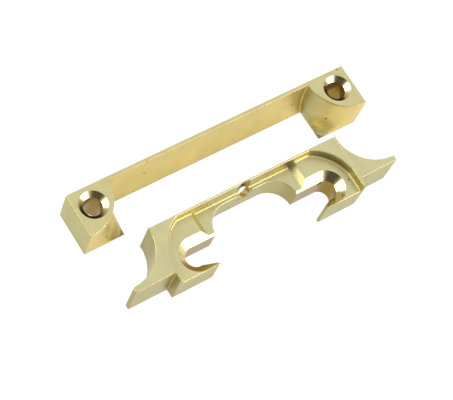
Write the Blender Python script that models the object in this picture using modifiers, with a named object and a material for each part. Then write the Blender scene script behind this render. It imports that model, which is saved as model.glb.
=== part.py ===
"""Brass rebate set for a lock on rebated double doors: two loose castings, side by side, face up.

The striker side piece is a thin bar between two drilled end blocks. The latch side piece is a
pocketed filler with a curved horn at each end, two open screw slots and a notch for the latch
tube. Both are as tall as the door rebate is deep.

Frame: +X along the door edge, +Y towards the back, +Z up; the origin is under the middle of the
pair. Inside each piece, "along" is the distance from its middle plane or its end, and "front" is
the distance from its rear face towards -Y.
"""

import math

import bmesh
import bpy
from mathutils import Matrix

MM = 0.001

# The set
REBATE_DEPTH = 13.0 * MM  # height of both pieces
GAP_BETWEEN = 5.0 * MM  # between the two pieces as they lie

# Striker side piece
BAR_LENGTH = 98.5 * MM
STRIKER_DEPTH = 14.3 * MM
BLOCK_BASE_LENGTH = 14.0 * MM
BLOCK_TOP_LENGTH = 13.5 * MM
BLOCK_TOP_RADIUS = 13.4 * MM
BLOCK_BASE_RADIUS = 0.6 * MM
BLOCK_COVE_HEIGHT = 7.0 * MM  # below it, the round corner spreads to the square foot
BAR_TOP_THICKNESS = 1.2 * MM
BAR_FOOT_THICKNESS = 3.8 * MM
BAR_COVE_POWER = 2.6
BAR_INTO_BLOCK = 13.0 * MM  # the bar runs on inside both blocks, to join them
SCREW_FROM_END = 5.7 * MM
SCREW_FROM_REAR = 6.05 * MM
BLOCK_SINK_RADIUS = 4.4 * MM
BLOCK_BORE_RADIUS = 2.9 * MM

# Latch side piece
LATCH_SIDE_DEPTH = 18.2 * MM
FILLER_HALF_LENGTH = 33.4 * MM
HORN_HALF_SPAN = 46.7 * MM
HORN_FRONT = 15.3 * MM
HORN_ARC_RADIUS = 12.9 * MM
HORN_ARC_FRONT = 0.6 * MM
HORN_TIP_THICKNESS = 1.4 * MM
TOP_LAND_DROP = 0.35 * MM  # the land round the pocket lies below the horns
LAND_HALF_LENGTH = 32.7 * MM
LAND_SLOPE = 0.5 * MM
POCKET_DEPTH = 3.0 * MM
POCKET_REAR_WALL = 0.95 * MM
POCKET_END_RADIUS = 13.6 * MM
POCKET_END_ALONG = 18.4 * MM
POCKET_END_FRONT = 13.5 * MM
POCKET_HALF_LENGTH = 31.9 * MM
POCKET_DRAFT = 0.5 * MM
LEDGE_DEPTH = 1.8 * MM  # the ledge beside the notch, below the pocket floor
LEDGE_HALF_LENGTH = 16.75 * MM
LEDGE_SLOPE = 2.1 * MM
LEDGE_REAR_WALL = 1.0 * MM
NOTCH_REAR = 2.2 * MM
NOTCH_HALF_LENGTH = 14.6 * MM
NOTCH_CORNER_RADIUS = 7.4 * MM
SLOT_ALONG = 23.6 * MM
SLOT_FRONT = 12.45 * MM
SLOT_SINK_RADIUS = 5.5 * MM
SLOT_BORE_RADIUS = 3.1 * MM
ARM_TIP_ALONG = 19.2 * MM
ARM_TIP_WIDTH = 0.9 * MM
ARM_TAPER_ALONG = 24.0 * MM  # the arm's tip tapers towards this point, inside the slot
ARM_TAPER_FRONT = 15.0 * MM
SLANT_SCREW_TILT = math.radians(45)  # from upright, towards the front
SLANT_SCREW_ALONG = 0.3 * MM
SLANT_SCREW_FRONT = 3.95 * MM
SLANT_SCREW_HEIGHT = 9.7 * MM
SLANT_SINK_RADIUS = 5.2 * MM  # breaks out through the top of the rear wall
SLANT_BORE_RADIUS = 1.9 * MM

# Modelling
CLEARANCE = 1.0 * MM  # how far a cutter runs past the face that it cuts
SLOPE_CLEARANCE = 0.2 * MM  # the same, for a cutter with sloping sides
WELD_DISTANCE = 0.001 * MM
SHARP_ANGLE = math.radians(25)
CIRCLE_SIDES = 48
ARC_STEPS = 24
LOFT_STEPS = 10

SET_DEPTH = STRIKER_DEPTH + GAP_BETWEEN + LATCH_SIDE_DEPTH
STRIKER_REAR_Y = SET_DEPTH / 2
LATCH_REAR_Y = STRIKER_REAR_Y - STRIKER_DEPTH - GAP_BETWEEN
POCKET_FLOOR = REBATE_DEPTH - POCKET_DEPTH
LEDGE_TOP = POCKET_FLOOR - LEDGE_DEPTH


def clear_scene():
    for item in list(bpy.data.objects):
        bpy.data.objects.remove(item, do_unlink=True)


def new_collection(name):
    collection = bpy.data.collections.new(name)
    bpy.context.scene.collection.children.link(collection)
    return collection


def arc(centre, radius, start, end, steps=ARC_STEPS):
    """Points on an arc, from the start angle to the end angle, in degrees."""
    angles = (math.radians(start + (end - start) * i / steps) for i in range(steps + 1))
    return [(centre[0] + radius * math.cos(a), centre[1] + radius * math.sin(a)) for a in angles]


def with_mirror(half):
    """A closed outline from its half at X > 0, which starts and ends on the middle line."""
    return half + [(-x, y) for x, y in reversed(half) if x > WELD_DISTANCE]


def as_object(name, mesh, collection):
    thing = bpy.data.objects.new(name, mesh)
    collection.objects.link(thing)
    return thing


def plate(name, outline, low, high, collection):
    """A flat outline, given as (x, front) points, made solid between two heights."""
    curve = bpy.data.curves.new(name, "CURVE")
    curve.dimensions = "2D"
    curve.fill_mode = "BOTH"
    curve.extrude = (high - low) / 2
    spline = curve.splines.new("POLY")
    spline.points.add(len(outline) - 1)
    for point, (x, y) in zip(spline.points, outline):
        point.co = (x, y, 0, 1)
    spline.use_cyclic_u = True
    guide = as_object(name + "_outline", curve, collection)
    guide.location.z = (high + low) / 2
    bpy.context.view_layer.update()
    evaluated = guide.evaluated_get(bpy.context.evaluated_depsgraph_get())
    mesh = bpy.data.meshes.new_from_object(evaluated)
    mesh.transform(guide.matrix_world)
    bpy.data.objects.remove(guide)
    bpy.data.curves.remove(curve)
    return as_object(name, welded(mesh), collection)


def welded(mesh):
    shell = bmesh.new()
    shell.from_mesh(mesh)
    bmesh.ops.remove_doubles(shell, verts=shell.verts, dist=WELD_DISTANCE)
    bmesh.ops.recalc_face_normals(shell, faces=shell.faces)
    shell.to_mesh(mesh)
    shell.free()
    return mesh


def loft(name, rings, collection):
    """A solid through closed rings that have the same number of points each."""
    shell = bmesh.new()
    loops = [[shell.verts.new(point) for point in ring] for ring in rings]
    count = len(rings[0])
    for below, above in zip(loops, loops[1:]):
        for i in range(count):
            j = (i + 1) % count
            shell.faces.new((below[i], below[j], above[j], above[i]))
    shell.faces.new(list(reversed(loops[0])))
    shell.faces.new(loops[-1])
    mesh = bpy.data.meshes.new(name)
    shell.to_mesh(mesh)
    shell.free()
    return as_object(name, welded(mesh), collection)


def countersunk_hole(name, sink_radius, bore_radius, length, mouth, collection):
    """The cutter of a hole with a 45 degree countersink, turned about its axis. Its mouth lies at
    the matrix's origin and opens along the matrix's +Z."""
    profile = [
        (0, CLEARANCE),
        (sink_radius + CLEARANCE, CLEARANCE),
        (bore_radius, bore_radius - sink_radius),
        (bore_radius, -length),
        (0, -length),
    ]
    mesh = bpy.data.meshes.new(name)
    edges = [(i, i + 1) for i in range(len(profile) - 1)]
    mesh.from_pydata([(radius, 0, height) for radius, height in profile], edges, [])
    cutter = as_object(name, mesh, collection)
    cutter.matrix_world = mouth
    turn = cutter.modifiers.new("turn", "SCREW")
    turn.steps = CIRCLE_SIDES
    turn.render_steps = CIRCLE_SIDES
    turn.use_merge_vertices = True
    turn.merge_threshold = WELD_DISTANCE
    return cutter


def combine(target, others, operation):
    for other in others:
        step = target.modifiers.new(other.name, "BOOLEAN")
        step.operation = operation
        step.solver = "EXACT"
        step.object = other


def hide_cutters(cutters):
    for cutter in cutters.objects:
        cutter.hide_render = True
        cutter.display_type = "WIRE"


def brass(name, colour, roughness):
    material = bpy.data.materials.new(name)
    material.use_nodes = True
    shader = material.node_tree.nodes["Principled BSDF"]
    shader.inputs["Base Color"].default_value = (*colour, 1)
    shader.inputs["Metallic"].default_value = 1
    shader.inputs["Roughness"].default_value = roughness
    return material


def finish(thing, material):
    thing.data.materials.append(material)
    thing.data.shade_smooth()
    thing.data.set_sharp_from_angle(angle=SHARP_ANGLE)


def block_ring(height, roundness, end_x, inward):
    """The outline of an end block at a height: square outside, with an inner front corner that
    is nearly square at roundness 0 and the wide arc at roundness 1."""
    share = height / REBATE_DEPTH
    length = BLOCK_BASE_LENGTH + (BLOCK_TOP_LENGTH - BLOCK_BASE_LENGTH) * share
    radius = BLOCK_BASE_RADIUS + (BLOCK_TOP_RADIUS - BLOCK_BASE_RADIUS) * roundness
    corner = arc((length - radius, STRIKER_DEPTH - radius), radius, 90, 0)
    outline = [(0, 0), (0, STRIKER_DEPTH), *corner, (length, 0)]
    return [(end_x + inward * along, STRIKER_REAR_Y - front, height) for along, front in outline]


def block_levels():
    """Heights in a block with their roundness: a quarter ellipse, then upright to the top."""
    turns = [math.pi / 2 * i / LOFT_STEPS for i in range(LOFT_STEPS + 1)]
    levels = [(BLOCK_COVE_HEIGHT * (1 - math.cos(turn)), math.sin(turn)) for turn in turns]
    return levels + [(REBATE_DEPTH, 1)]


def bar_section(x):
    """The bar's section: an upright rear face and a hollow front that spreads to a wider foot."""
    spread = BAR_FOOT_THICKNESS - BAR_TOP_THICKNESS
    points = [(x, STRIKER_REAR_Y, REBATE_DEPTH), (x, STRIKER_REAR_Y, 0)]
    for i in range(LOFT_STEPS + 1):
        share = i / LOFT_STEPS
        front = BAR_TOP_THICKNESS + spread * (1 - share) ** BAR_COVE_POWER
        points.append((x, STRIKER_REAR_Y - front, REBATE_DEPTH * share))
    return points


def make_striker_side(parts, cutters, material):
    half = BAR_LENGTH / 2
    bar_end = half - BLOCK_TOP_LENGTH + BAR_INTO_BLOCK
    piece = loft("striker_side_piece", [bar_section(-bar_end), bar_section(bar_end)], parts)
    for side, inward in (("left", 1), ("right", -1)):
        end_x = -inward * half
        rings = [block_ring(*level, end_x, inward) for level in block_levels()]
        block = loft("block_" + side, rings, cutters)
        combine(piece, [block], "UNION")
        mouth = Matrix.Translation(
            (end_x + inward * SCREW_FROM_END, STRIKER_REAR_Y - SCREW_FROM_REAR, REBATE_DEPTH)
        )
        hole = countersunk_hole(
            "screw_" + side, BLOCK_SINK_RADIUS, BLOCK_BORE_RADIUS, REBATE_DEPTH + CLEARANCE,
            mouth, cutters,
        )
        combine(piece, [hole], "DIFFERENCE")
    finish(piece, material)
    return piece


def latch_outline():
    """Half of the latch side piece seen from above, before the screw slot is cut: from the middle
    of its rear face round the horn, the front arm and the notch."""
    horn_centre = (FILLER_HALF_LENGTH + HORN_ARC_RADIUS, HORN_ARC_FRONT)
    notch_centre = (
        NOTCH_HALF_LENGTH - NOTCH_CORNER_RADIUS,
        NOTCH_REAR + NOTCH_CORNER_RADIUS,
    )
    return [
        (0, 0),
        (FILLER_HALF_LENGTH, 0),
        *arc(horn_centre, HORN_ARC_RADIUS, 180, 90),
        (HORN_HALF_SPAN, HORN_FRONT - HORN_TIP_THICKNESS),
        (HORN_HALF_SPAN, HORN_FRONT),
        (FILLER_HALF_LENGTH, HORN_FRONT),
        (FILLER_HALF_LENGTH, LATCH_SIDE_DEPTH),
        (ARM_TIP_ALONG, LATCH_SIDE_DEPTH),
        (ARM_TIP_ALONG, LATCH_SIDE_DEPTH - ARM_TIP_WIDTH),
        (ARM_TAPER_ALONG, ARM_TAPER_FRONT),
        (ARM_TAPER_ALONG, SLOT_FRONT),
        (NOTCH_HALF_LENGTH, SLOT_FRONT),
        *arc(notch_centre, NOTCH_CORNER_RADIUS, 0, -90),
        (0, NOTCH_REAR),
    ]


def latch_points(outline, height):
    return [(x, LATCH_REAR_Y - front, height) for x, front in outline]


def pocket_outline(grow):
    """The forend pocket seen from above: straight at the rear, round at both ends, open in front."""
    rear = POCKET_REAR_WALL - grow
    radius = POCKET_END_RADIUS + grow
    side = POCKET_HALF_LENGTH + grow
    rear_angle = math.degrees(math.asin((rear - POCKET_END_FRONT) / radius))
    side_angle = -math.degrees(math.acos(min(1, (side - POCKET_END_ALONG) / radius)))
    half = [
        (0, rear),
        *arc((POCKET_END_ALONG, POCKET_END_FRONT), radius, rear_angle, side_angle),
        (side, LATCH_SIDE_DEPTH + CLEARANCE),
    ]
    return with_mirror(half)


def slot_outline(side, radius):
    """A screw slot seen from above, from its round end inwards past the notch."""
    end = arc((SLOT_ALONG, SLOT_FRONT), radius, 90, -90)
    inner = NOTCH_HALF_LENGTH - CLEARANCE
    outline = [(inner, SLOT_FRONT + radius), *end, (inner, SLOT_FRONT - radius)]
    return [(side * x, front) for x, front in outline]


def make_latch_side(parts, cutters, material):
    outline = [(x, y) for x, y, _ in latch_points(with_mirror(latch_outline()), 0)]
    piece = plate("latch_side_piece", outline, 0, REBATE_DEPTH, parts)
    above = REBATE_DEPTH + CLEARANCE

    land_floor = REBATE_DEPTH - TOP_LAND_DROP
    land_rings = []
    for height in (land_floor, above):
        half = LAND_HALF_LENGTH + LAND_SLOPE * (height - land_floor) / TOP_LAND_DROP
        corners = [(-half, -CLEARANCE), (half, -CLEARANCE)]
        corners += [(x, LATCH_SIDE_DEPTH + CLEARANCE) for x in (half, -half)]
        land_rings.append(latch_points(corners, height))
    land = loft("land", land_rings, cutters)

    draft_per_height = POCKET_DRAFT / POCKET_DEPTH
    pocket_rings = [
        latch_points(pocket_outline(draft_per_height * (height - POCKET_FLOOR)), height)
        for height in (POCKET_FLOOR, above)
    ]
    pocket = loft("pocket", pocket_rings, cutters)

    ledge_rings = []
    for front in (LEDGE_REAR_WALL, LATCH_SIDE_DEPTH + CLEARANCE):
        rise = LEDGE_DEPTH + SLOPE_CLEARANCE
        top_half = LEDGE_HALF_LENGTH + LEDGE_SLOPE / LEDGE_DEPTH * rise
        section = [
            (-LEDGE_HALF_LENGTH, LEDGE_TOP), (LEDGE_HALF_LENGTH, LEDGE_TOP),
            (top_half, LEDGE_TOP + rise), (-top_half, LEDGE_TOP + rise),
        ]
        y = LATCH_REAR_Y - front
        ledge_rings.append([(x, y, z) for x, z in section])
    ledge = loft("ledge", ledge_rings, cutters)
    combine(piece, [land, pocket, ledge], "DIFFERENCE")

    sink_depth = SLOT_SINK_RADIUS - SLOT_BORE_RADIUS
    slot_levels = (
        (-CLEARANCE, SLOT_BORE_RADIUS),
        (POCKET_FLOOR - sink_depth, SLOT_BORE_RADIUS),
        (POCKET_FLOOR + SLOPE_CLEARANCE, SLOT_SINK_RADIUS + SLOPE_CLEARANCE),
    )
    for name, side in (("left", -1), ("right", 1)):
        rings = [latch_points(slot_outline(side, radius), z) for z, radius in slot_levels]
        combine(piece, [loft("slot_" + name, rings, cutters)], "DIFFERENCE")

    mouth = Matrix.Translation(
        (SLANT_SCREW_ALONG, LATCH_REAR_Y - SLANT_SCREW_FRONT, SLANT_SCREW_HEIGHT)
    ) @ Matrix.Rotation(SLANT_SCREW_TILT, 4, "X")
    slant = countersunk_hole(
        "slant_screw", SLANT_SINK_RADIUS, SLANT_BORE_RADIUS, REBATE_DEPTH, mouth, cutters,
    )
    combine(piece, [slant], "DIFFERENCE")
    finish(piece, material)
    return piece


def main():
    clear_scene()
    parts = new_collection("rebate_set")
    cutters = new_collection("cutters")
    make_striker_side(parts, cutters, brass("striker_side_brass", (0.74, 0.66, 0.40), 0.30))
    make_latch_side(parts, cutters, brass("latch_side_brass", (0.76, 0.69, 0.44), 0.32))
    hide_cutters(cutters)


main()
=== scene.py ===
"""Studio view of a brass rebate set: two loose castings that lie side by side on a pale floor."""

import math

import bmesh
import bpy
from mathutils import Matrix, Vector


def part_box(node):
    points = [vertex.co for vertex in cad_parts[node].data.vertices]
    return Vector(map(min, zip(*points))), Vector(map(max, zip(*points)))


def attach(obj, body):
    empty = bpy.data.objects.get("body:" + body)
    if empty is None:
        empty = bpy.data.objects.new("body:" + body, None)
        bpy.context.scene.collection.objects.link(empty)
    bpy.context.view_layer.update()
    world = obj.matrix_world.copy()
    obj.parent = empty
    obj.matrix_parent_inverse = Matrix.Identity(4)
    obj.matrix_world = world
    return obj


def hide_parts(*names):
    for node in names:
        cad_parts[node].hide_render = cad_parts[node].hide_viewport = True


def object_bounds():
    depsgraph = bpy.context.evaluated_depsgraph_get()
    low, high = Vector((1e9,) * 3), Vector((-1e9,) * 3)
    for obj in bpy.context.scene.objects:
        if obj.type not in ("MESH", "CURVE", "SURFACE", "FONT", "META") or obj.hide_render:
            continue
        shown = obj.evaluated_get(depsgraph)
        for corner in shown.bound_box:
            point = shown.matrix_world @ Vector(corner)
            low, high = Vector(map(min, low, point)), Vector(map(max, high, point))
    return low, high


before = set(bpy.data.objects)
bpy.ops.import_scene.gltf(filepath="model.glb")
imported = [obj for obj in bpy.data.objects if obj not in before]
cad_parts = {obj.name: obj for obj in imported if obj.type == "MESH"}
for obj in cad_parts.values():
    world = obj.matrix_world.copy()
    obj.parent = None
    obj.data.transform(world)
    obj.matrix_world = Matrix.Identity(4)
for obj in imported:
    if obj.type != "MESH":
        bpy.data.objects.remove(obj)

cad_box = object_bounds()

MM = 0.001

# Castings
WELD_DISTANCE = 0.001 * MM
VOXEL = 0.2 * MM
SOFTEN_PASSES = 5
SOFTEN_SHARE = 0.5  # of the way to the neighbours' mean, each pass
KEPT_SHARE = 0.6  # of the faces, once the soft edges are made
FLAT_WEIGHT = 90  # how far large faces decide the shading beside them

# Machined cuts
CIRCLE_SIDES = 96
ARC_STEPS = 40
PAST = 1.0 * MM  # how far a cutter passes the surface that it cuts
SLOT_PAST = 0.3 * MM  # less over a slot, to spare what rises round it
SHARP_ANGLE = math.radians(35)
SLOT_BORE_RADIUS = 3.1 * MM
BLOCK_BORE_RADIUS = 2.9 * MM
SCREW_FROM_END = 5.7 * MM
SCREW_FROM_REAR = 6.05 * MM
BLOCK_SINK_RADIUS = 4.4 * MM
BLOCK_SINK_DEPTH = 1.5 * MM
SLOT_ALONG = 23.6 * MM
SLOT_FRONT = 12.45 * MM
SLOT_SINK_RADIUS = 5.5 * MM
SLOT_INNER_END = 13.6 * MM
POCKET_DEPTH = 3.0 * MM
SLANT_TILT = math.radians(45)
SLANT_ALONG = 0.3 * MM
SLANT_FRONT = 3.95 * MM
SLANT_HEIGHT = 9.7 * MM
SLANT_SINK_RADIUS = 5.2 * MM
SLANT_BORE_RADIUS = 2.05 * MM

# Blanks filled before the machined cuts are made again
SCREW_PLUG_RADIUS = 4.7 * MM
SLOT_PLUG_RADIUS = 5.6 * MM
SLOT_PLUG_START = 20.1 * MM
SLOT_PLUG_ARM_START = 23.0 * MM  # beyond the arm tip's taper
SHELF_HEIGHT = 8.2 * MM
SHELF_START = 14.8 * MM
SHELF_END = 16.75 * MM  # where the shelf starts to slope up to the shoulder
SHOULDER_HEIGHT = 10.0 * MM  # that of the pocket floor
SHOULDER_START = 18.85 * MM
SHOULDER_END = 20.3 * MM

# Casting finish
BLOTCH_DENSITY = 160.0  # every density is a count in a metre
BLOTCH_EDGE = (0.35, 0.65)
WAVE_DENSITY = 420.0
WAVE_HEIGHT = 0.2 * MM
GRAIN_DENSITY = 2600.0
GRAIN_HEIGHT = 0.03 * MM
CAST_ROUGHNESS = (0.36, 0.50)
PIT_DENSITY = 260.0
PIT_EDGE = (0.05, 0.11)  # share of a cell
PIT_SHARE = 0.30  # of the cells
PIT_DEPTH = 0.2 * MM
PIT_TINT = (0.35, 0.27, 0.16)
# Painted shade: the colour darkens in hollows, as far as the view out is blocked within reach
HOLLOW_REACH = 3.0 * MM
HOLLOW_SHADE = (0.92, 0.84, 0.64)
# Painted shade: the colour darkens in inside corners
CORNER_REACH = 1.0 * MM
CORNER_OPENNESS = (0.45, 0.85)  # free share of the view out of the surface, within reach
CORNER_SHADE = (0.55, 0.40, 0.18)
EDGE_REACH = 0.28 * MM
EDGE_OPENNESS = (0.55, 0.95)  # free share of the view into the metal, within reach
EDGE_TINT = (0.62, 0.50, 0.34)
UPWARD = (0.2, 0.8)  # the normal's height, from side faces, which get painted shade, to top faces
LEFTWARD = (-0.95, -0.7)  # the normal's X, from left faces, which get painted shade, to the others

# Each casting's duller and brighter brass, and the tints that paint shade on its side faces and
# left faces
STRIKER_DULL = (0.69, 0.56, 0.205)
STRIKER_BRIGHT = (0.76, 0.62, 0.23)
STRIKER_SIDE_SHADE = (1.03, 1.0, 0.93)
STRIKER_LEFT_SHADE = (0.66, 0.75, 0.92)
LATCH_DULL = (0.69, 0.575, 0.225)
LATCH_BRIGHT = (0.76, 0.63, 0.25)
LATCH_SIDE_SHADE = (0.66, 0.70, 0.80)
LATCH_LEFT_SHADE = (0.84, 0.82, 0.64)

# Machined finish
MACHINED_BRASS = (0.72, 0.59, 0.26)
MACHINED_ROUGHNESS = (0.16, 0.28)
TURNING_DENSITY = 900.0
BORE_FACING = (0.1, 0.6)  # the normal's height, from bores to sinks
# painted shade down in the bores
BORE_SHADE = (0.42, 0.32, 0.09)

# Camera
CAMERA_PLACE = Vector((-192.3, -116.2, 412.7)) * MM
CAMERA_TURN = (25.35, -13.22, -32.76)  # degrees
CAMERA_LENS = 124.9
CAMERA_SENSOR = 36.0
CAMERA_NEAR = 10 * MM

# Studio
FLOOR_REACH = 1.5
FLOOR_COLOUR = (0.12, 0.12, 0.12)
FLOOR_ROUGHNESS = 0.9
FLOOR_GLOW = 0.94
LAMP_DISTANCE = 1.0
LAMP_WIDTH = 0.8
LAMP_HEIGHT = 0.5
LAMP_COLOUR = (0.96, 1.0, 1.0)
LAMP_POWER = 6.5
LEFT_LAMP = (142, 24)  # azimuth and elevation, degrees
RIGHT_LAMP = (-55, 20)
TENT_LIGHT = (0.84, 0.95, 1.36)
TENT_DARK = (0.10, 0.10, 0.10)
TENT_OPENING = (-0.67, -0.58, 0.47)  # direction of the open side
TENT_EDGE = (0.55, 0.90)  # cosines of the angle from it, from closed to open


def new_object(name, mesh):
    thing = bpy.data.objects.new(name, mesh)
    bpy.context.scene.collection.objects.link(thing)
    return thing


def apply_modifiers(thing):
    """Replaces the object's mesh with what its modifiers make of it."""
    bpy.context.view_layer.update()
    evaluated = thing.evaluated_get(bpy.context.evaluated_depsgraph_get())
    mesh = bpy.data.meshes.new_from_object(evaluated)
    thing.modifiers.clear()
    thing.data = mesh


def arc(centre, radius, start, end, steps=ARC_STEPS):
    """Points on an arc, from one angle in degrees to another."""
    angles = [math.radians(start + (end - start) * i / steps) for i in range(steps + 1)]
    return [(centre[0] + radius * math.cos(a), centre[1] + radius * math.sin(a)) for a in angles]


def stacked(shell, rings):
    """Adds a closed solid through rings with the same number of points each."""
    loops = [[shell.verts.new(point) for point in ring] for ring in rings]
    count = len(rings[0])
    for below, above in zip(loops, loops[1:]):
        for i in range(count):
            j = (i + 1) % count
            shell.faces.new((below[i], below[j], above[j], above[i]))
    shell.faces.new(list(reversed(loops[0])))
    shell.faces.new(loops[-1])


def solid(name, rings_list):
    """One object with a closed solid for each list of rings."""
    shell = bmesh.new()
    for rings in rings_list:
        stacked(shell, rings)
    bmesh.ops.recalc_face_normals(shell, faces=shell.faces)
    mesh = bpy.data.meshes.new(name)
    shell.to_mesh(mesh)
    shell.free()
    return new_object(name, mesh)


def turned(levels, placing):
    """Rings of a turned shape, from (height, radius) pairs, put in place by a matrix."""
    rings = []
    for height, radius in levels:
        circle = arc((0, 0), radius, 0, 360 - 360 / CIRCLE_SIDES, CIRCLE_SIDES - 1)
        rings.append([placing @ Vector((x, y, height)) for x, y in circle])
    return rings


def slot_ring(middle_x, rear_y, side, inner, radius, height):
    """A screw slot's outline at a height, from its round end inwards."""
    end = arc((SLOT_ALONG, SLOT_FRONT), radius, 90, -90)
    outline = [(inner, SLOT_FRONT + radius), *end, (inner, SLOT_FRONT - radius)]
    return [(middle_x + side * x, rear_y - front, height) for x, front in outline]


def slot_plug_ring(middle_x, rear_y, side, height):
    """The outline of a slot's blank, which starts further out on the side of the arm."""
    end = arc((SLOT_ALONG, SLOT_FRONT), SLOT_PLUG_RADIUS, 90, -90)
    inner = [
        (SLOT_PLUG_START, SLOT_FRONT - SLOT_PLUG_RADIUS),
        (SLOT_PLUG_START, SLOT_FRONT),
        (SLOT_PLUG_ARM_START, SLOT_FRONT),
        (SLOT_PLUG_ARM_START, SLOT_FRONT + SLOT_PLUG_RADIUS),
    ]
    return [(middle_x + side * x, rear_y - front, height) for x, front in end + inner]


def shoulder_rings(middle_x, rear_y, side, bottom):
    """The blank behind a slot, whose top follows the shelf and its slope up to the shoulder."""
    shelf = bottom + SHELF_HEIGHT
    shoulder = bottom + SHOULDER_HEIGHT
    section = [
        (SHELF_START, bottom),
        (SHELF_START, shelf),
        (SHELF_END, shelf),
        (SHOULDER_START, shoulder),
        (SHOULDER_END, shoulder),
        (SHOULDER_END, bottom),
    ]
    return [
        [(middle_x + side * along, rear_y - front, height) for along, height in section]
        for front in (SLOT_FRONT - SLOT_PLUG_RADIUS, SLOT_FRONT)
    ]


def cad_copy(node, name):
    """The CAD node's mesh with its split corners joined again."""
    shell = bmesh.new()
    shell.from_mesh(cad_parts[node].data)
    bmesh.ops.remove_doubles(shell, verts=shell.verts, dist=WELD_DISTANCE)
    mesh = bpy.data.meshes.new(name)
    shell.to_mesh(mesh)
    shell.free()
    return new_object(name, mesh)


def add_plugs(piece, plugs):
    """Joins overlapping solids into the piece's mesh; the remesh then makes them one body."""
    shell = bmesh.new()
    shell.from_mesh(piece.data)
    shell.from_mesh(plugs.data)
    shell.to_mesh(piece.data)
    shell.free()
    bpy.data.objects.remove(plugs)


def cast_skin(piece):
    """Gives every edge the soft radius of a casting."""
    remesh = piece.modifiers.new("remesh", "REMESH")
    remesh.mode = "VOXEL"
    remesh.voxel_size = VOXEL
    soften = piece.modifiers.new("soften", "SMOOTH")
    soften.factor = SOFTEN_SHARE
    soften.iterations = SOFTEN_PASSES
    apply_modifiers(piece)
    thin = piece.modifiers.new("thin", "DECIMATE")
    thin.ratio = KEPT_SHARE
    apply_modifiers(piece)


def cut(piece, cutter, cast, machined):
    """Takes the cutter out of the piece, and leaves the machined finish on the cut faces."""
    for thing in (piece, cutter):
        thing.data.materials.clear()
        thing.data.materials.append(cast)
        thing.data.materials.append(machined)
    for face in cutter.data.polygons:
        face.material_index = 1
    step = piece.modifiers.new("cut", "BOOLEAN")
    step.operation = "DIFFERENCE"
    step.solver = "MANIFOLD"
    step.object = cutter
    apply_modifiers(piece)
    bpy.data.objects.remove(cutter)


def sink_levels(sink_radius, bore_radius, sink_depth, length):
    """Heights and radii of a countersunk hole's cutter, below and just above its mouth."""
    slope = (sink_radius - bore_radius) / sink_depth
    return [
        (-length, bore_radius),
        (-sink_depth, bore_radius),
        (PAST, sink_radius + slope * PAST),
    ]


def finished(piece, node, body):
    """Shades the cast skin smooth, with crisp edges only round and within the cuts."""
    shell = bmesh.new()
    shell.from_mesh(piece.data)
    for face in shell.faces:
        face.smooth = True
    for edge in shell.edges:
        machined = any(face.material_index for face in edge.link_faces)
        edge.smooth = not machined or edge.calc_face_angle(0) < SHARP_ANGLE
    shell.to_mesh(piece.data)
    shell.free()
    flatten = piece.modifiers.new("flatten", "WEIGHTED_NORMAL")
    flatten.keep_sharp = True
    flatten.weight = FLAT_WEIGHT
    apply_modifiers(piece)
    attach(piece, body)
    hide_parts(node)


def striker_side(cast, machined):
    """The bar between two blocks, with a countersunk hole through each block."""
    node = "striker_side_piece"
    low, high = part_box(node)
    piece = cad_copy(node, "striker_side_casting")
    places = [
        Matrix.Translation((x, high.y - SCREW_FROM_REAR, high.z))
        for x in (low.x + SCREW_FROM_END, high.x - SCREW_FROM_END)
    ]
    height = high.z - low.z
    plug_levels = [(-height, SCREW_PLUG_RADIUS), (0, SCREW_PLUG_RADIUS)]
    add_plugs(piece, solid("plugs", [turned(plug_levels, place) for place in places]))
    cast_skin(piece)
    levels = sink_levels(
        BLOCK_SINK_RADIUS, BLOCK_BORE_RADIUS, BLOCK_SINK_DEPTH, height + PAST
    )
    cut(piece, solid("cutter", [turned(levels, place) for place in places]), cast, machined)
    finished(piece, node, "striker_side")


def latch_side(cast, machined):
    """The horned filler, with two screw slots and a slanted hole in its rear wall."""
    node = "latch_side_piece"
    low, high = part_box(node)
    middle_x = (low.x + high.x) / 2
    rear_y = high.y
    pocket_floor = high.z - POCKET_DEPTH
    piece = cad_copy(node, "latch_side_casting")
    plugs = []
    for side in (-1, 1):
        plugs.append([slot_plug_ring(middle_x, rear_y, side, z) for z in (low.z, pocket_floor)])
        plugs.append(shoulder_rings(middle_x, rear_y, side, low.z))
    add_plugs(piece, solid("plugs", plugs))
    cast_skin(piece)
    sink_depth = SLOT_SINK_RADIUS - SLOT_BORE_RADIUS
    levels = (
        (low.z - PAST, SLOT_BORE_RADIUS),
        (pocket_floor - sink_depth, SLOT_BORE_RADIUS),
        (pocket_floor + SLOT_PAST, SLOT_SINK_RADIUS + SLOT_PAST),
    )
    cuts = []
    for side in (-1, 1):
        cuts.append([
            slot_ring(middle_x, rear_y, side, SLOT_INNER_END, radius, z)
            for z, radius in levels
        ])
    mouth = Matrix.Translation(
        (middle_x + SLANT_ALONG, rear_y - SLANT_FRONT, SLANT_HEIGHT)
    ) @ Matrix.Rotation(SLANT_TILT, 4, "X")
    slant_depth = SLANT_SINK_RADIUS - SLANT_BORE_RADIUS
    slant_levels = sink_levels(SLANT_SINK_RADIUS, SLANT_BORE_RADIUS, slant_depth, high.z)
    cuts.append(turned(slant_levels, mouth))
    cut(piece, solid("cutter", cuts), cast, machined)
    finished(piece, node, "latch_side")


def link(tree, source, target):
    tree.links.new(source, target)


def add_node(tree, kind, **settings):
    node = tree.nodes.new(kind)
    for name, value in settings.items():
        if name in node.inputs:
            node.inputs[name].default_value = value
        else:
            setattr(node, name, value)
    return node


def scaled(tree, colour, factor, low):
    """Multiplies a colour by a tint that runs from low to white as the factor runs from 0 to 1."""
    shade = add_node(tree, "ShaderNodeMix", data_type="RGBA", blend_type="MULTIPLY")
    shade.inputs["Factor"].default_value = 1
    tint = add_node(tree, "ShaderNodeMix", data_type="RGBA")
    tint.inputs["A"].default_value = (*low, 1)
    tint.inputs["B"].default_value = (1, 1, 1, 1)
    link(tree, factor, tint.inputs["Factor"])
    link(tree, colour, shade.inputs["A"])
    link(tree, tint.outputs["Result"], shade.inputs["B"])
    return shade.outputs["Result"]


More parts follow.
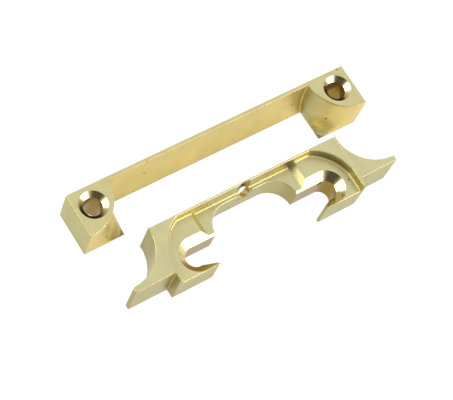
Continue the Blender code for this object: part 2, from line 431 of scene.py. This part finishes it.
def mapped(tree, value, source=(0.0, 1.0), target=(0.0, 1.0)):
    """The value, stretched so that the ends of the source range give those of the target."""
    stretch = add_node(tree, "ShaderNodeMapRange")
    stretch.inputs["From Min"].default_value = source[0]
    stretch.inputs["From Max"].default_value = source[1]
    stretch.inputs["To Min"].default_value = target[0]
    stretch.inputs["To Max"].default_value = target[1]
    link(tree, value, stretch.inputs["Value"])
    return stretch.outputs["Result"]


def facing_parts(tree, place):
    """The parts of the object's own normal."""
    parts = add_node(tree, "ShaderNodeSeparateXYZ")
    link(tree, place.outputs["Normal"], parts.inputs["Vector"])
    return parts.outputs


def pits(tree, place):
    """Sparse pin-holes: 0 in a pit and 1 elsewhere."""
    cells = add_node(tree, "ShaderNodeTexVoronoi", Scale=PIT_DENSITY)
    link(tree, place, cells.inputs["Vector"])
    hole = mapped(tree, cells.outputs["Distance"], PIT_EDGE)
    pick = add_node(tree, "ShaderNodeSeparateColor")
    link(tree, cells.outputs["Color"], pick.inputs["Color"])
    absent = add_node(tree, "ShaderNodeMath", operation="GREATER_THAN")
    absent.inputs[1].default_value = PIT_SHARE
    link(tree, pick.outputs["Red"], absent.inputs[0])
    either = add_node(tree, "ShaderNodeMath", operation="MAXIMUM")
    link(tree, hole, either.inputs[0])
    link(tree, absent.outputs["Value"], either.inputs[1])
    return either.outputs["Value"]


def blotched_and_shaded_colour(tree, place, holes, dull, bright, side_shade, left_shade):
    """Blotched brass with painted shade on side and left faces, in hollows and in corners, and
    darker edges.
    """
    blotch = add_node(
        tree, "ShaderNodeTexNoise", Scale=BLOTCH_DENSITY, Detail=4.0, Roughness=0.6
    )
    link(tree, place.outputs["Object"], blotch.inputs["Vector"])
    tone = add_node(tree, "ShaderNodeMix", data_type="RGBA")
    tone.inputs["A"].default_value = (*dull, 1)
    tone.inputs["B"].default_value = (*bright, 1)
    link(tree, mapped(tree, blotch.outputs["Fac"], BLOTCH_EDGE), tone.inputs["Factor"])

    facing = facing_parts(tree, place)
    hollow = add_node(tree, "ShaderNodeAmbientOcclusion", Distance=HOLLOW_REACH)
    corner = add_node(tree, "ShaderNodeAmbientOcclusion", Distance=CORNER_REACH)
    edge = add_node(tree, "ShaderNodeAmbientOcclusion", Distance=EDGE_REACH, inside=True)
    colour = tone.outputs["Result"]
    # Painted shade on side and left faces by their normal, and in hollows and corners by
    # occlusion; then darker edges and pits
    for factor, low in (
        (mapped(tree, facing["Z"], UPWARD), side_shade),
        (mapped(tree, facing["X"], LEFTWARD), left_shade),
        (hollow.outputs["AO"], HOLLOW_SHADE),
        (mapped(tree, corner.outputs["AO"], CORNER_OPENNESS), CORNER_SHADE),
        (mapped(tree, edge.outputs["AO"], EDGE_OPENNESS), EDGE_TINT),
        (holes, PIT_TINT),
    ):
        colour = scaled(tree, colour, factor, low)
    return colour


def cast_brass(name, dull, bright, side_shade, left_shade):
    """Tumbled cast brass: a blotched colour with painted shade, fine grain, slight waves and a few
    pits.
    """
    material = bpy.data.materials.new(name)
    material.use_nodes = True
    tree = material.node_tree
    shader = tree.nodes["Principled BSDF"]
    shader.inputs["Metallic"].default_value = 1
    place = add_node(tree, "ShaderNodeTexCoord")
    grain = add_node(
        tree, "ShaderNodeTexNoise", Scale=GRAIN_DENSITY, Detail=3.0, Roughness=0.6
    )
    wave = add_node(tree, "ShaderNodeTexNoise", Scale=WAVE_DENSITY, Detail=2.0, Roughness=0.5)
    for texture in (grain, wave):
        link(tree, place.outputs["Object"], texture.inputs["Vector"])
    holes = pits(tree, place.outputs["Object"])
    colour = blotched_and_shaded_colour(tree, place, holes, dull, bright, side_shade, left_shade)
    link(tree, colour, shader.inputs["Base Color"])
    rough = mapped(tree, grain.outputs["Fac"], target=CAST_ROUGHNESS)
    link(tree, rough, shader.inputs["Roughness"])

    wide = add_node(tree, "ShaderNodeBump", Strength=0.25, Distance=WAVE_HEIGHT)
    fine = add_node(tree, "ShaderNodeBump", Strength=0.30, Distance=GRAIN_HEIGHT)
    sunk = add_node(tree, "ShaderNodeBump", Strength=0.6, Distance=PIT_DEPTH)
    link(tree, wave.outputs["Fac"], wide.inputs["Height"])
    link(tree, grain.outputs["Fac"], fine.inputs["Height"])
    link(tree, holes, sunk.inputs["Height"])
    link(tree, wide.outputs["Normal"], fine.inputs["Normal"])
    link(tree, fine.outputs["Normal"], sunk.inputs["Normal"])
    link(tree, sunk.outputs["Normal"], shader.inputs["Normal"])
    return material


def machined_brass(name):
    """Turned brass, at full colour on the sinks and with painted shade down in the bores."""
    material = bpy.data.materials.new(name)
    material.use_nodes = True
    tree = material.node_tree
    shader = tree.nodes["Principled BSDF"]
    shader.inputs["Metallic"].default_value = 1
    bare = add_node(tree, "ShaderNodeRGB")
    bare.outputs["Color"].default_value = (*MACHINED_BRASS, 1)
    place = add_node(tree, "ShaderNodeTexCoord")
    upward = mapped(tree, facing_parts(tree, place)["Z"], BORE_FACING)
    colour = scaled(tree, bare.outputs["Color"], upward, BORE_SHADE)
    link(tree, colour, shader.inputs["Base Color"])
    turning = add_node(tree, "ShaderNodeTexNoise", Scale=TURNING_DENSITY, Detail=2.0)
    link(tree, place.outputs["Object"], turning.inputs["Vector"])
    rough = mapped(tree, turning.outputs["Fac"], target=MACHINED_ROUGHNESS)
    link(tree, rough, shader.inputs["Roughness"])
    return material


def lit_paper():
    """Plain sheet whose white comes mostly from below, as on a light table."""
    material = bpy.data.materials.new("lit_paper")
    material.use_nodes = True
    shader = material.node_tree.nodes["Principled BSDF"]
    shader.inputs["Base Color"].default_value = (*FLOOR_COLOUR, 1)
    shader.inputs["Roughness"].default_value = FLOOR_ROUGHNESS
    shader.inputs["Emission Color"].default_value = (1, 1, 1, 1)
    shader.inputs["Emission Strength"].default_value = FLOOR_GLOW
    return material


def floor():
    shell = bmesh.new()
    bmesh.ops.create_grid(shell, x_segments=1, y_segments=1, size=FLOOR_REACH)
    mesh = bpy.data.meshes.new("floor")
    shell.to_mesh(mesh)
    shell.free()
    sheet = new_object("floor", mesh)
    sheet.location.z = cad_box[0][2]
    sheet.data.materials.append(lit_paper())


def soft_box(name, direction):
    """A rectangular lamp on a circle round the object, which it looks at."""
    around, above = [math.radians(angle) for angle in direction]
    away = Vector((
        math.cos(around) * math.cos(above), math.sin(around) * math.cos(above), math.sin(above)
    ))
    lamp = bpy.data.lights.new(name, "AREA")
    lamp.shape = "RECTANGLE"
    lamp.size = LAMP_WIDTH
    lamp.size_y = LAMP_HEIGHT
    lamp.energy = LAMP_POWER
    lamp.color = LAMP_COLOUR
    thing = bpy.data.objects.new(name, lamp)
    bpy.context.scene.collection.objects.link(thing)
    thing.location = away * LAMP_DISTANCE
    thing.rotation_euler = away.to_track_quat("Z", "Y").to_euler()


def surround():
    """A pale tent round the object, darker on the side where it is open."""
    world = bpy.data.worlds.new("tent")
    bpy.context.scene.world = world
    world.use_nodes = True
    tree = world.node_tree
    place = add_node(tree, "ShaderNodeTexCoord")
    facing = add_node(tree, "ShaderNodeVectorMath", operation="DOT_PRODUCT")
    facing.inputs[1].default_value = Vector(TENT_OPENING).normalized()
    link(tree, place.outputs["Generated"], facing.inputs[0])
    share = add_node(tree, "ShaderNodeMapRange", interpolation_type="SMOOTHSTEP")
    share.inputs["From Min"].default_value = TENT_EDGE[0]
    share.inputs["From Max"].default_value = TENT_EDGE[1]
    link(tree, facing.outputs["Value"], share.inputs["Value"])
    colour = add_node(tree, "ShaderNodeMix", data_type="RGBA")
    colour.inputs["A"].default_value = (*TENT_LIGHT, 1)
    colour.inputs["B"].default_value = (*TENT_DARK, 1)
    link(tree, share.outputs["Result"], colour.inputs["Factor"])
    link(tree, colour.outputs["Result"], tree.nodes["Background"].inputs["Color"])


def studio():
    surround()
    soft_box("left_box", LEFT_LAMP)
    soft_box("right_box", RIGHT_LAMP)


def camera():
    data = bpy.data.cameras.new("camera")
    data.lens = CAMERA_LENS
    data.sensor_width = CAMERA_SENSOR
    data.sensor_fit = "HORIZONTAL"
    data.clip_start = CAMERA_NEAR
    thing = bpy.data.objects.new("camera", data)
    bpy.context.scene.collection.objects.link(thing)
    thing.location = CAMERA_PLACE
    thing.rotation_euler = [math.radians(turn) for turn in CAMERA_TURN]
    bpy.context.scene.camera = thing


camera()
studio()
floor()
machined_finish = machined_brass("machined_brass")
striker_finish = cast_brass(
    "striker_side_cast", STRIKER_DULL, STRIKER_BRIGHT, STRIKER_SIDE_SHADE, STRIKER_LEFT_SHADE
)
latch_finish = cast_brass(
    "latch_side_cast", LATCH_DULL, LATCH_BRIGHT, LATCH_SIDE_SHADE, LATCH_LEFT_SHADE
)
striker_side(striker_finish, machined_finish)
latch_side(latch_finish, machined_finish)
bpy.context.scene.view_settings.view_transform = "Standard"
